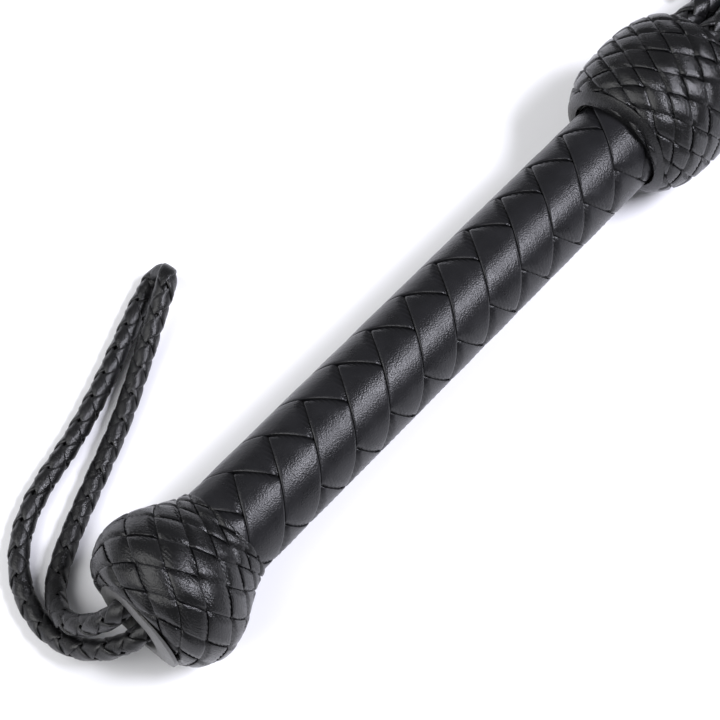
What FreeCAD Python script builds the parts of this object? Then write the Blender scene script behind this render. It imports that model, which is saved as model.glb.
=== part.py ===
"""Plaited leather hand whip: rigid handle, two covering knots, wrist loop and nine tails.

The handle lies along X on the plane Z = 0, pommel at -X and tails at +X. The origin is under
the middle of the handle. All lengths are millimetres.
"""

import FreeCAD, Part
import math
import os

from FreeCAD import Vector

# --- driving dimensions -------------------------------------------------------------------
HANDLE_LENGTH = 242.0  # mouth of the pommel knot to mouth of the neck knot
AXIS_Z = 23.9  # height of the handle's axis over the table
KNOT_RADIUS = 24.2  # fattest place of both covering knots
FIT_GAP = 0.05  # air between pieces that are bound together

DOWEL_RADIUS = 11.0
SLEEVE_THICKNESS = 1.6
STRAND_THICKNESS = 1.0
STRANDS_PER_HAND = 4  # four strands wind each way round the grip
STRAND_LEAD = 56.0  # one strand climbs this far in one turn
STRAND_EDGE_GAP = 0.4  # between neighbours that wind the same way
BINDING_THICKNESS = 0.85
LACE_THICKNESS = 1.5

POMMEL_MOUTH_RADIUS = 10.5
POMMEL_MOUTH_DEPTH = 8.0
NECK_MOUTH_RADIUS = 19.0
NECK_MOUTH_DEPTH = 12.5

LOOP_DIAMETER = 6.4
TAIL_DIAMETER = 8.2
TAIL_PITCH = 8.8  # between tails that lie side by side
TAIL_RING_RADIUS = 13.3  # eight tails round the ninth where they leave the neck knot
TIE_THICKNESS = 0.8
TIE_WIDTH = 12.0
TIE_X = 236.0
TIE_LOW_Y = -25.2
TIE_HIGH_Y = 41.6
TIE_SLACK = 0.15  # air over the hank's top layer
TIE_CORNER_RADIUS = 3.0
HANK_CLEARANCE = 0.1  # half the air between neighbouring columns of the hank

# --- derived dimensions -------------------------------------------------------------------
X_POMMEL = -HANDLE_LENGTH / 2
X_NECK = HANDLE_LENGTH / 2
SLEEVE_RADIUS = DOWEL_RADIUS + FIT_GAP + SLEEVE_THICKNESS
INNER_STRAND_RADIUS = SLEEVE_RADIUS + FIT_GAP
OUTER_STRAND_RADIUS = INNER_STRAND_RADIUS + STRAND_THICKNESS + FIT_GAP
GRIP_RADIUS = OUTER_STRAND_RADIUS + STRAND_THICKNESS
BINDING_RADIUS = GRIP_RADIUS + FIT_GAP + BINDING_THICKNESS
TAIL_BUNDLE_RADIUS = TAIL_RING_RADIUS + TAIL_DIAMETER / 2
DOWEL_END = X_NECK - 21.0
DOWEL_START = X_POMMEL + POMMEL_MOUTH_DEPTH + FIT_GAP
COVER_START = X_POMMEL + 10.0  # first wrap of the sleeve and of the cover strands
COVER_END = DOWEL_END - 1.0
POMMEL_BINDING_START = X_POMMEL + 11.0
POMMEL_BINDING_END = X_POMMEL + 26.0
POMMEL_GRIP_END = X_POMMEL + 40.0  # past the pommel knot's grip end
NECK_BINDING_START = X_NECK - 33.5
NECK_BINDING_END = DOWEL_END - 0.5
NECK_GRIP_START = X_NECK - 50.0  # before the neck knot's grip end
TAIL_START = X_NECK - 7.0
TAIL_ROOT_LENGTH = 8.0
SLOT_LENGTH = 26.0  # slot in the dowel for the wrist loop's buried ends
SLOT_WIDTH = 2 * LOOP_DIAMETER + 1.0
SLOT_HEIGHT = LOOP_DIAMETER + 0.6
BURIED_LENGTH = 24.0
BURIED_RADIUS = LOOP_DIAMETER / 2 - 0.55  # the braid is pressed thinner in its slot
BURIED_PITCH = LOOP_DIAMETER + 2.1
PIN_RADIUS = 1.0
PIN_INSET = 16.0
PIN_LENGTH = 2 * DOWEL_RADIUS - 0.4
HANK_Z = TIE_THICKNESS + TAIL_DIAMETER / 2 + TAIL_PITCH  # middle of the three layers

# Outlines of the knots: distance in from the mouth, and radius.
POMMEL_OUTLINE = [(0.0, 13.0), (1.3, 17.6), (5.0, 21.7), (11.5, KNOT_RADIUS),
                  (19.0, 22.9), (26.0, 18.9), (32.0, GRIP_RADIUS + 0.7)]
NECK_OUTLINE = [(0.0, 20.6), (3.0, 22.2), (9.0, 23.8), (18.0, KNOT_RADIUS),
                (28.0, 23.4), (35.5, 20.2), (39.0, GRIP_RADIUS + 1.2)]

# Wrist loop, from the inner leg's place in the mouth, round the fold, to the outer leg's.
LOOP_ROUTE = [
    (-120.6, 3.6, 29.0), (-125.4, 5.4, 25.4), (-129.6, 10.4, 19.0), (-131.8, 17.4, 12.2),
    (-129.8, 24.6, 7.0), (-124.0, 31.6, 3.8), (-112.0, 38.2, 3.2), (-95.0, 45.2, 3.2),
    (-76.0, 52.9, 3.3), (-60.0, 61.0, 4.6), (-45.0, 68.4, 8.2), (-35.1, 73.0, 11.2),
    (-33.9, 77.2, 7.2), (-38.0, 78.6, 3.3), (-48.6, 74.8, 3.2), (-66.0, 67.4, 3.2),
    (-88.0, 59.4, 3.2), (-108.0, 55.2, 3.2), (-122.4, 48.4, 3.2), (-131.8, 38.0, 3.2),
    (-136.0, 25.6, 3.3), (-135.2, 13.4, 6.6), (-131.0, 4.6, 12.6), (-125.8, -0.8, 18.0),
    (-120.6, -2.8, 20.8),
]

# Middle line of the nine tails: out of the neck knot, down, along, round the fold and back.
BUNDLE_ROUTE = [(TAIL_START, 0.0), (136.0, 0.0), (160.0, -1.0), (190.0, -3.5), (226.0, -8.5),
                (264.0, -12.5), (300.0, -14.0), (336.0, -11.0), (360.0, 8.5), (363.0, 39.0),
                (344.0, 63.0), (313.0, 67.0), (281.0, 45.0), (250.0, 27.0), (224.0, 23.2),
                (200.0, 25.7), (176.0, 31.0)]
BUNDLE_HEIGHTS = [AXIS_Z, AXIS_Z, 18.8] + [HANK_Z] * 14
HANK_START_X = 208.0
END_STEP_ASIDE = 1.7  # a column that ends first steps aside from the one that runs on
END_LEAN = math.radians(3.0)  # and its knots lean away from it
KNOT_GAP = 0.9
KNOT_LENGTH = 9.0
KNOT_RADIUS_AT_TAIL = 4.3
KNOT_CHAMFER = 1.2
TIP_LENGTH = 16.0
TIP_RADIUS = 2.4

os.makedirs("parts", exist_ok=True)


# --- small tools ----------------------------------------------------------------------------
def save(shape, node):
    """Write one node's shape and say how large it is."""
    shape.exportStep("parts/%s.step" % node)
    box = shape.BoundBox
    print("%-26s %8.1f mm3  x %7.1f..%6.1f  y %6.1f..%5.1f  z %5.2f..%5.2f  valid %s" % (
        node, shape.Volume, box.XMin, box.XMax, box.YMin, box.YMax, box.ZMin, box.ZMax,
        shape.isValid()))


def tube(x_low, x_high, inner, outer):
    """A round sleeve about the handle's axis, or a rod where the inner radius is zero."""
    base = Vector(x_low, 0, AXIS_Z)
    along = Vector(1, 0, 0)
    body = Part.makeCylinder(outer, x_high - x_low, base, along)
    if inner > 0:
        body = body.cut(Part.makeCylinder(inner, x_high - x_low, base, along))
    return body


def turned(outline, bore):
    """A solid turned about the handle's axis from (x, radius) points down to a bore."""
    points = [Vector(x, 0, AXIS_Z + r) for x, r in outline]
    curve = Part.BSplineCurve()
    curve.interpolate(points)
    first, last = points[0], points[-1]
    low_last = Vector(last.x, 0, AXIS_Z + bore)
    low_first = Vector(first.x, 0, AXIS_Z + bore)
    edges = [curve.toShape(), Part.makeLine(last, low_last), Part.makeLine(low_last, low_first),
             Part.makeLine(low_first, first)]
    face = Part.Face(Part.Wire(edges))
    return face.revolve(Vector(0, 0, AXIS_Z), Vector(1, 0, 0), 360)


def rounded_wire(points, label):
    """Straight runs joined by tangent arcs, each as large as its two runs allow."""
    edges = []
    radii = []
    start = points[0]
    for before, corner, after in zip(points, points[1:], points[2:]):
        back = before - corner
        ahead = after - corner
        reach = 0.45 * min(back.Length, ahead.Length)
        turn = math.pi - back.getAngle(ahead)
        radii.append(reach / math.tan(turn / 2))
        back.normalize()
        ahead.normalize()
        arc_start = corner + back * reach
        arc_end = corner + ahead * reach
        bisector = (back + ahead).normalize()
        to_centre = radii[-1] / math.cos(turn / 2)
        middle = corner + bisector * (to_centre - radii[-1])
        edges.append(Part.LineSegment(start, arc_start).toShape())
        edges.append(Part.Arc(arc_start, middle, arc_end).toShape())
        start = arc_end
    edges.append(Part.LineSegment(start, points[-1]).toShape())
    wire = Part.Wire(edges)
    print("%-26s length %6.1f  smallest radii %s" % (
        label, wire.Length, ["%.1f" % r for r in sorted(radii)[:4]]))
    return wire


def cord(points, diameter, label):
    """A round cord along a route, its volume held against its section times its length."""
    wire = rounded_wire(points, label)
    heading = points[1] - points[0]
    section = Part.Wire(Part.makeCircle(diameter / 2, points[0], heading))
    solid = wire.makePipeShell([section], True, False)
    wanted = math.pi * diameter ** 2 / 4 * wire.Length
    print("%-26s volume over section x length %.4f" % (label, solid.Volume / wanted))
    return solid


def mitred(points, offset):
    """A plan route moved sideways, to the left of its heading, by an offset."""
    moved = []
    for i, point in enumerate(points):
        before = points[max(i - 1, 0)]
        after = points[min(i + 1, len(points) - 1)]
        first = Vector(point.x - before.x, point.y - before.y, 0)
        second = Vector(after.x - point.x, after.y - point.y, 0)
        if first.Length == 0:
            first = second
        if second.Length == 0:
            second = first
        first.normalize()
        second.normalize()
        middle = (first + second).normalize()
        left = Vector(-middle.y, middle.x, 0)
        moved.append(point + left * (offset / middle.dot(first)))
    return moved


# --- handle ---------------------------------------------------------------------------------
def handle_core():
    """Hardwood dowel, with a slot in its pommel end for the buried ends of the wrist loop."""
    dowel = tube(DOWEL_START, DOWEL_END, 0, DOWEL_RADIUS)
    slot = Part.makeBox(SLOT_LENGTH, SLOT_WIDTH, SLOT_HEIGHT)
    slot.translate(Vector(DOWEL_START, -SLOT_WIDTH / 2, AXIS_Z - SLOT_HEIGHT / 2))
    base = Vector(DOWEL_START + PIN_INSET, 0, AXIS_Z - DOWEL_RADIUS)
    hole = Part.makeCylinder(PIN_RADIUS + FIT_GAP, 2 * DOWEL_RADIUS, base, Vector(0, 0, 1))
    return dowel.cut(slot).cut(hole)


def loop_roots():
    """The two buried ends of the wrist loop's braid, side by side in the dowel's slot."""
    ends = []
    for side in (-1, 1):
        base = Vector(DOWEL_START, side * BURIED_PITCH / 2, AXIS_Z)
        ends.append(Part.makeCylinder(BURIED_RADIUS, BURIED_LENGTH, base, Vector(1, 0, 0)))
    return Part.makeCompound(ends)


def loop_pin():
    """Steel pin through the dowel between the buried ends, holding them in the slot."""
    base = Vector(DOWEL_START + PIN_INSET, 0, AXIS_Z - PIN_LENGTH / 2)
    return Part.makeCylinder(PIN_RADIUS, PIN_LENGTH, base, Vector(0, 0, 1))


def cover_strand(index, hand, radius):
    """One flat strand of the grip's cover, wound round the sleeve as a plain strip."""
    length = COVER_END - COVER_START
    pitch = STRAND_LEAD / STRANDS_PER_HAND
    width = pitch - STRAND_EDGE_GAP
    helix = Part.makeLongHelix(STRAND_LEAD, length - width, radius, 0, hand < 0)
    low = Vector(radius, 0, 0)
    section = Part.makePolygon([low, low + Vector(STRAND_THICKNESS, 0, 0),
                                low + Vector(STRAND_THICKNESS, 0, width),
                                low + Vector(0, 0, width), low])
    strip = Part.Wire(helix).makePipeShell([section], True, True)
    strip.rotate(Vector(0, 0, 0), Vector(0, 0, 1), index * 360 / STRANDS_PER_HAND)
    strip.rotate(Vector(0, 0, 0), Vector(0, 1, 0), 90)
    strip.translate(Vector(COVER_START, 0, AXIS_Z))
    return strip


# --- covering knots ---------------------------------------------------------------------------
def placed(outline, mouth_x, inward, shrink):
    """A knot's outline at its place on the handle, drawn in by a thickness."""
    last = len(outline) - 1
    points = []
    for i, (distance, radius) in enumerate(outline):
        trim = shrink if i == 0 else 0.0
        end_trim = shrink if i == last else 0.0
        points.append((mouth_x + inward * (distance + trim - end_trim), radius - shrink))
    return points


def knot_parts(outline, mouth_x, inward, hollow, bore):
    """The lace skin and the built-up foundation of one covering knot."""
    skin = LACE_THICKNESS
    whole = turned(placed(outline, mouth_x, inward, 0.0), bore)
    inside = turned(placed(outline, mouth_x, inward, skin), bore - 1.0)
    core = turned(placed(outline, mouth_x, inward, skin + FIT_GAP), bore)
    table = Part.makeBox(2 * HANDLE_LENGTH, 4 * KNOT_RADIUS, KNOT_RADIUS)
    table.translate(Vector(-HANDLE_LENGTH, -2 * KNOT_RADIUS, -KNOT_RADIUS))
    lace = whole.cut(inside).cut(hollow).cut(table)
    return lace, core.cut(hollow)


def pommel_knot():
    """Lace and foundation of the knot that covers the wrist loop's end of the handle."""
    mouth_end = X_POMMEL + POMMEL_MOUTH_DEPTH
    over_binding = BINDING_RADIUS + FIT_GAP
    hollow = tube(X_POMMEL - 1, mouth_end + 1, 0, POMMEL_MOUTH_RADIUS)
    hollow = hollow.fuse(tube(mouth_end, POMMEL_BINDING_END + FIT_GAP, 0, over_binding))
    hollow = hollow.fuse(tube(POMMEL_BINDING_END, POMMEL_GRIP_END, 0, GRIP_RADIUS + FIT_GAP))
    lace, foundation = knot_parts(POMMEL_OUTLINE, X_POMMEL, 1, hollow, POMMEL_MOUTH_RADIUS)
    binding = tube(POMMEL_BINDING_START, POMMEL_BINDING_END, GRIP_RADIUS + FIT_GAP,
                   BINDING_RADIUS)
    return lace, foundation, binding


def neck_knot():
    """Lace and foundation of the knot that covers the roots of the tails."""
    root_end = DOWEL_END + TAIL_ROOT_LENGTH
    over_roots = TAIL_BUNDLE_RADIUS + FIT_GAP
    over_root_binding = over_roots + BINDING_THICKNESS + FIT_GAP
    over_binding = BINDING_RADIUS + FIT_GAP
    hollow = tube(X_NECK - NECK_MOUTH_DEPTH, X_NECK + 1, 0, NECK_MOUTH_RADIUS)
    hollow = hollow.fuse(tube(NECK_BINDING_END, root_end + 1, 0, over_root_binding))
    hollow = hollow.fuse(tube(NECK_BINDING_START - FIT_GAP, DOWEL_END, 0, over_binding))
    hollow = hollow.fuse(tube(NECK_GRIP_START, NECK_BINDING_START, 0, GRIP_RADIUS + FIT_GAP))
    lace, foundation = knot_parts(NECK_OUTLINE, X_NECK, -1, hollow, GRIP_RADIUS)
    binding = tube(NECK_BINDING_START, NECK_BINDING_END, GRIP_RADIUS + FIT_GAP, BINDING_RADIUS)
    root_binding = tube(DOWEL_END + 0.5, root_end - 0.5, over_roots,
                        over_roots + BINDING_THICKNESS)
    return lace, foundation, binding, root_binding


# --- tails --------------------------------------------------------------------------------------
def tail_places():
    """Where each tail sits: its place in the neck's ring and its place in the stacked bundle."""
    places = [((0.0, 0.0), (0, 0))]
    for k in range(8):
        angle = math.radians(45 * k)
        ring = (TAIL_RING_RADIUS * math.cos(angle), TAIL_RING_RADIUS * math.sin(angle))
        places.append((ring, (round(math.cos(angle)), round(math.sin(angle)))))
    return places


def bundle_points(side):
    """The bundle's middle line, moved sideways for one of its three columns.

    The tails are equally long, so the inner column, which saves length in the fold, runs on
    to the route's last point, and each column outside it ends one point sooner, where it steps
    aside from the column that runs on.
    """
    flat = [Vector(x, y, z) for (x, y), z in zip(BUNDLE_ROUTE, BUNDLE_HEIGHTS)]
    moved = mitred(flat, side * TAIL_PITCH)[:len(flat) - 1 + side]
    if side < 1:
        moved[-1] = mitred(flat, side * TAIL_PITCH - END_STEP_ASIDE)[len(moved) - 1]
    return moved


def end_heading(side):
    """The way a column's knots point: along the bundle's next run, leaning outwards."""
    reached = len(BUNDLE_ROUTE) - 2 + side
    following = min(reached + 1, len(BUNDLE_ROUTE) - 1)
    start = Vector(*BUNDLE_ROUTE[following - 1], 0)
    heading = (Vector(*BUNDLE_ROUTE[following], 0) - start).normalize()
    lean = END_LEAN if side < 1 else 0.0
    return Vector(heading.x * math.cos(lean) + heading.y * math.sin(lean),
                  heading.y * math.cos(lean) - heading.x * math.sin(lean), 0)


def split_at_hank(points):
    """The point of the fourth run where the loose tails end and the hank begins."""
    share = (HANK_START_X - BUNDLE_ROUTE[3][0]) / (BUNDLE_ROUTE[4][0] - BUNDLE_ROUTE[3][0])
    return points[3] + (points[4] - points[3]) * share


def tail_root(ring):
    """The buried end of one tail, bound against the end of the dowel."""
    base = Vector(DOWEL_END + FIT_GAP, ring[0], AXIS_Z + ring[1])
    return Part.makeCylinder(TAIL_DIAMETER / 2, TAIL_ROOT_LENGTH, base, Vector(1, 0, 0))


def tail_stretch(ring, cell, label):
    """One tail from the neck knot's mouth down to the hank."""
    column, layer = cell
    line = bundle_points(column)
    points = []
    for i in range(4):
        if i < 2:
            points.append(Vector(BUNDLE_ROUTE[i][0], ring[0], BUNDLE_HEIGHTS[i] + ring[1]))
        else:
            points.append(line[i] + Vector(0, 0, layer * TAIL_PITCH))
    points.append(split_at_hank(line) + Vector(0, 0, layer * TAIL_PITCH))
    return cord(points, TAIL_DIAMETER, label)


def hank_column(column):
    """Three stacked tails of the hank as one closed solid of their outer shape."""
    line = bundle_points(column)
    route = [split_at_hank(line)] + line[4:]
    wire = rounded_wire(route, "hank column %d" % column)
    half_width = TAIL_PITCH / 2 - HANK_CLEARANCE
    half_height = TAIL_PITCH + TAIL_DIAMETER / 2
    heading = (route[1] - route[0]).normalize()
    left = Vector(-heading.y, heading.x, 0)
    up = Vector(0, 0, 1)
    corners = [route[0] + left * (a * half_width) + up * (b * half_height)
               for a, b in ((-1, -1), (1, -1), (1, 1), (-1, 1), (-1, -1))]
    return wire.makePipeShell([Part.makePolygon(corners)], True, False)


def tail_knot(cell):
    """The knot that ends one tail, with the short tip of its strands."""
    column, layer = cell
    heading = end_heading(column)
    gap = KNOT_GAP if column < 1 else 0.0
    base = bundle_points(column)[-1] + Vector(0, 0, layer * TAIL_PITCH) + heading * gap
    collar = Part.makeCylinder(KNOT_RADIUS_AT_TAIL, KNOT_LENGTH, base, heading)
    rims = [edge for edge in collar.Edges if edge.Curve.TypeId == "Part::GeomCircle"]
    collar = collar.makeChamfer(KNOT_CHAMFER, rims)
    buried = KNOT_CHAMFER / 2
    tip = Part.makeCylinder(TIP_RADIUS, TIP_LENGTH + buried,
                            base + heading * (KNOT_LENGTH - buried), heading)
    return collar.fuse(tip).removeSplitter()


def hank_tie():
    """Flat leather strap round both runs of the hank."""
    half_height = TAIL_PITCH + TAIL_DIAMETER / 2
    width = TIE_HIGH_Y - TIE_LOW_Y
    height = 2 * half_height + TIE_SLACK + 2 * TIE_THICKNESS
    low_z = HANK_Z - half_height - TIE_THICKNESS
    outer = Part.makeBox(TIE_WIDTH, width, height)
    outer.translate(Vector(TIE_X - TIE_WIDTH / 2, TIE_LOW_Y, low_z))
    long_edges = [edge for edge in outer.Edges if abs(edge.tangentAt(edge.FirstParameter).x) > 0.9]
    outer = outer.makeFillet(TIE_CORNER_RADIUS, long_edges)
    inner = Part.makeBox(TIE_WIDTH + 2, width - 2 * TIE_THICKNESS, height - 2 * TIE_THICKNESS)
    inner.translate(Vector(TIE_X - TIE_WIDTH / 2 - 1, TIE_LOW_Y + TIE_THICKNESS,
                           low_z + TIE_THICKNESS))
    return outer.cut(inner)


# --- write every node -----------------------------------------------------------------------------
def main():
    """Build and write each piece."""
    save(handle_core(), "handle_core")
    save(loop_roots(), "loop_roots")
    save(loop_pin(), "loop_pin")
    save(tube(COVER_START, DOWEL_END - 0.2, DOWEL_RADIUS + FIT_GAP, SLEEVE_RADIUS),
         "handle_sleeve")
    for index in range(STRANDS_PER_HAND):
        right = cover_strand(index, 1, INNER_STRAND_RADIUS)
        left = cover_strand(index, -1, OUTER_STRAND_RADIUS)
        save(right, "cover_strand_right_%d" % (index + 1))
        save(left, "cover_strand_left_%d" % (index + 1))

    lace, foundation, binding = pommel_knot()
    save(lace, "pommel_knot_lace")
    save(foundation, "pommel_knot_foundation")
    save(binding, "pommel_binding")
    lace, foundation, binding, root_binding = neck_knot()
    save(lace, "neck_knot_lace")
    save(foundation, "neck_knot_foundation")
    save(binding, "neck_binding")
    save(root_binding, "tail_root_binding")

    loop_points = [Vector(*p) for p in LOOP_ROUTE]
    save(cord(loop_points, LOOP_DIAMETER, "wrist_loop"), "wrist_loop")

    places = tail_places()
    save(Part.makeCompound([tail_root(ring) for ring, _ in places]), "tail_roots")
    for number, (ring, cell) in enumerate(places, 1):
        save(tail_stretch(ring, cell, "tail_%d" % number), "tail_%d" % number)
        save(tail_knot(cell), "tail_knot_%d" % number)
    for column, name in ((1, "inner"), (0, "middle"), (-1, "outer")):
        save(hank_column(column), "hank_" + name)
    save(hank_tie(), "hank_tie")


main()
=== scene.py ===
"""Looks of a plaited leather hand whip: woven grip, two covering knots, wrist loop, nine tails.

Every length in this file is in millimetres until a mesh is made, where MM turns it to metres.
Angles round the handle are in degrees, from straight up (+Z) towards the near side (-Y).
"""
import logging
import math
from collections.abc import Callable, Sequence
from dataclasses import dataclass, field
from enum import Enum
from typing import Any

import bmesh
import bpy
import numpy as np
from mathutils import Matrix, Vector, noise


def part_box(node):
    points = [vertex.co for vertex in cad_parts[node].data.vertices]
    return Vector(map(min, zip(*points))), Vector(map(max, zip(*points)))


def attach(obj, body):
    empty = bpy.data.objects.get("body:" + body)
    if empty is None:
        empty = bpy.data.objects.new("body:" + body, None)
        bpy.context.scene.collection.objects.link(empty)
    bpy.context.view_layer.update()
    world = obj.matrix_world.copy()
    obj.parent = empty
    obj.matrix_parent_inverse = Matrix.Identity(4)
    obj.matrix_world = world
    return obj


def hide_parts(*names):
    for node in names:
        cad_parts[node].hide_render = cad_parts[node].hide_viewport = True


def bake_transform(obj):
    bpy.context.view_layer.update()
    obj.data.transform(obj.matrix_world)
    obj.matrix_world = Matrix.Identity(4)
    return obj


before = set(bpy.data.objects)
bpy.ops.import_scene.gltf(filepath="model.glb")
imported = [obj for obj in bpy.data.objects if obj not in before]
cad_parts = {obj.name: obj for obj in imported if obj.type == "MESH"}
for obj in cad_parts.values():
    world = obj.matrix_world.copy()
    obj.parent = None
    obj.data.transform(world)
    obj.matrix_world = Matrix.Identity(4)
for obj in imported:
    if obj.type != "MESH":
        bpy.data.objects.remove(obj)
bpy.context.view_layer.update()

LOG = logging.getLogger("hand_whip")

MM = 0.001
Point = tuple[float, float, float]

# Driving sizes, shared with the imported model.
POMMEL_X = -121.0
NECK_X = 121.0
AXIS_Z = 23.9
TAIL_PITCH = 8.8
TAIL_RING_RADIUS = 13.3
HANK_Z = 13.7


class Body(Enum):
    """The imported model's moving bodies."""

    HANDLE = "handle"
    LOOP = "wrist_loop"
    TAILS = "tails"


class Hand(Enum):
    """The way a strand winds as it goes from the pommel to the neck."""

    RIGHT = 1
    LEFT = -1


class Slot(Enum):
    """The record's material slots."""

    PLAIT = "plaited_leather"
    LACE = "knot_lace"
    BRAID = "braided_cord"
    BARE = "bare_leather"
    WOOD = "hardwood"
    PIN = "steel_pin"
    THREAD = "waxed_thread"
    STRAP = "tie_strap"


# --- colours, nodes and finishes ------------------------------------------------------------
def linear(colour: str) -> tuple[float, float, float, float]:
    """Turn an sRGB hex colour into linear values.

    Args:
        colour: Six hex digits after a hash sign.

    Returns:
        Linear red, green, blue and an alpha of one.
    """
    parts = [int(colour[i:i + 2], 16) / 255 for i in (1, 3, 5)]
    red, green, blue = [c / 12.92 if c <= 0.04045 else ((c + 0.055) / 1.055) ** 2.4 for c in parts]
    return red, green, blue, 1.0


def add_node(tree: bpy.types.NodeTree, kind: str, settings: dict[str | int, Any] | None = None,
             links: dict[str | int, bpy.types.NodeSocket] | None = None) -> bpy.types.Node:
    """Add one node with its settings and its incoming links.

    Args:
        tree: The node tree that gets the node.
        kind: The node's type name, without its "ShaderNode" prefix.
        settings: Socket values, by socket name or number, and plain attributes by name.
        links: Source sockets, by the name or number of the socket that they feed.

    Returns:
        The new node.
    """
    made = tree.nodes.new("ShaderNode" + kind)
    for key, value in (settings or {}).items():
        if isinstance(key, int) or key in made.inputs:
            made.inputs[key].default_value = value
        else:
            setattr(made, key, value)
    for key, source in (links or {}).items():
        tree.links.new(source, made.inputs[key])
    return made


def new_material(name: str) -> tuple[bpy.types.Material, bpy.types.NodeTree]:
    """Make an empty node material.

    Args:
        name: The material's name.

    Returns:
        The material and its node tree.
    """
    material = bpy.data.materials.new(name)
    material.use_nodes = True
    material.node_tree.nodes.clear()
    return material, material.node_tree


@dataclass(frozen=True)
class Leather:
    """A leather finish: grain, pulled creases along the strand, rubbed edges, and painted shade in
    the seams where a strand dips under its neighbour.
    """

    name: str
    face: str
    rubbed: str
    seam_shade: str
    roughness: float
    roughness_spread: float
    grain_mm: float
    grain_height_mm: float
    specular: float = 0.5
    rub: float = 0.5
    fibre: float = 0.9

    def make(self) -> bpy.types.Material:
        """Build the material.

        Returns:
            A procedural leather.
        """
        material, tree = new_material(self.name)
        place = add_node(tree, "TexCoord").outputs["Object"]
        strand = add_node(tree, "Attribute", {"attribute_name": "strand"}).outputs["Vector"]
        edge = add_node(tree, "Attribute", {"attribute_name": "edge"}).outputs["Fac"]
        dip = add_node(tree, "Attribute", {"attribute_name": "dip"}).outputs["Fac"]
        per_metre = 1 / (self.grain_mm * MM)
        # Hair-cell grain: closed cells about the grain size across.
        cells = add_node(tree, "TexVoronoi", {"Scale": per_metre, "feature": "SMOOTH_F1",
                                              "Smoothness": 0.35}, {"Vector": place})
        # Fine pores, a third of the cells' size.
        pores = add_node(tree, "TexNoise", {"Scale": per_metre * 3, "Detail": 3.0},
                         {"Vector": place})
        # Fibres pulled along the strand when it was drawn tight: 6 mm long and 0.5 mm apart.
        stretched = add_node(tree, "Mapping", {"Scale": (160.0, 2000.0, 1.0)}, {"Vector": strand})
        fibres = add_node(tree, "TexNoise", {"Scale": 1.0, "Detail": 4.0, "Roughness": 0.6},
                          {"Vector": stretched.outputs["Vector"]})
        # Patches of more and less polish, a hand's rub across: about 7 mm.
        patches = add_node(tree, "TexNoise", {"Scale": 140.0, "Detail": 5.0, "Roughness": 0.6},
                           {"Vector": place})
        relief = add_node(tree, "Math", {"operation": "MULTIPLY_ADD", 1: 0.45},
                          {0: pores.outputs["Fac"], 2: cells.outputs["Distance"]})
        relief = add_node(tree, "Math", {"operation": "MULTIPLY_ADD", 1: self.fibre},
                          {0: fibres.outputs["Fac"], 2: relief.outputs[0]})
        bump = add_node(tree, "Bump", {"Strength": 1.0, "Distance": self.grain_height_mm * MM},
                        {"Height": relief.outputs[0]})
        # The face varies a little with the patches, then greys where it is rubbed at the edges.
        tone = add_node(tree, "MapRange", {"From Min": 0.3, "From Max": 0.7, "To Min": 0.78,
                                           "To Max": 1.18}, {"Value": patches.outputs["Fac"]})
        face = add_node(tree, "Mix", {"data_type": "RGBA", "blend_type": "MULTIPLY", 0: 1.0,
                                      6: linear(self.face)}, {7: tone.outputs[0]})
        worn = add_node(tree, "Math", {"operation": "MULTIPLY"},
                        {0: edge, 1: patches.outputs["Fac"]})
        worn = add_node(tree, "Math", {"operation": "MULTIPLY", 1: 2 * self.rub},
                        {0: worn.outputs[0]})
        face = add_node(tree, "Mix", {"data_type": "RGBA", 7: linear(self.rubbed)},
                        {0: worn.outputs[0], 6: face.outputs[2]})
        # Painted shade: the seam colour darkens the face where the strand dips under its
        # neighbour, and on undersides and cores.
        face = add_node(tree, "Mix", {"data_type": "RGBA", 7: linear(self.seam_shade)},
                        {0: dip, 6: face.outputs[2]})
        polish = add_node(tree, "MapRange", {
            "From Min": 0.3, "From Max": 0.7, "To Min": self.roughness - self.roughness_spread,
            "To Max": self.roughness + self.roughness_spread}, {"Value": patches.outputs["Fac"]})
        shader = add_node(tree, "BsdfPrincipled", {
            "IOR": 1.5, "Specular IOR Level": self.specular},
            {"Base Color": face.outputs[2], "Roughness": polish.outputs[0],
             "Normal": bump.outputs["Normal"]})
        add_node(tree, "OutputMaterial", {}, {"Surface": shader.outputs[0]})
        return material


@dataclass(frozen=True)
class TurnedHardwood:
    """Plain turned beech: straight fine grain along the dowel, no varnish, a dull even face."""

    name: str = "turned_beech"

    def make(self) -> bpy.types.Material:
        """Build the material.

        Returns:
            A procedural plain wood.
        """
        material, tree = new_material(self.name)
        place = add_node(tree, "TexCoord").outputs["Object"]
        # Grain lines about 1.5 mm apart and 60 mm long.
        long_grain = add_node(tree, "Mapping", {"Scale": (16.0, 650.0, 650.0)}, {"Vector": place})
        grain = add_node(tree, "TexNoise", {"Scale": 1.0, "Detail": 6.0},
                         {"Vector": long_grain.outputs["Vector"]})
        ramp = add_node(tree, "Mix", {"data_type": "RGBA", 6: linear("#b98e62"),
                                      7: linear("#8d6540")}, {0: grain.outputs["Fac"]})
        bump = add_node(tree, "Bump", {"Strength": 0.6, "Distance": 0.05 * MM},
                        {"Height": grain.outputs["Fac"]})
        shader = add_node(tree, "BsdfPrincipled", {"IOR": 1.5, "Roughness": 0.6},
                          {"Base Color": ramp.outputs[2], "Normal": bump.outputs["Normal"]})
        add_node(tree, "OutputMaterial", {}, {"Surface": shader.outputs[0]})
        return material


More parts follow.
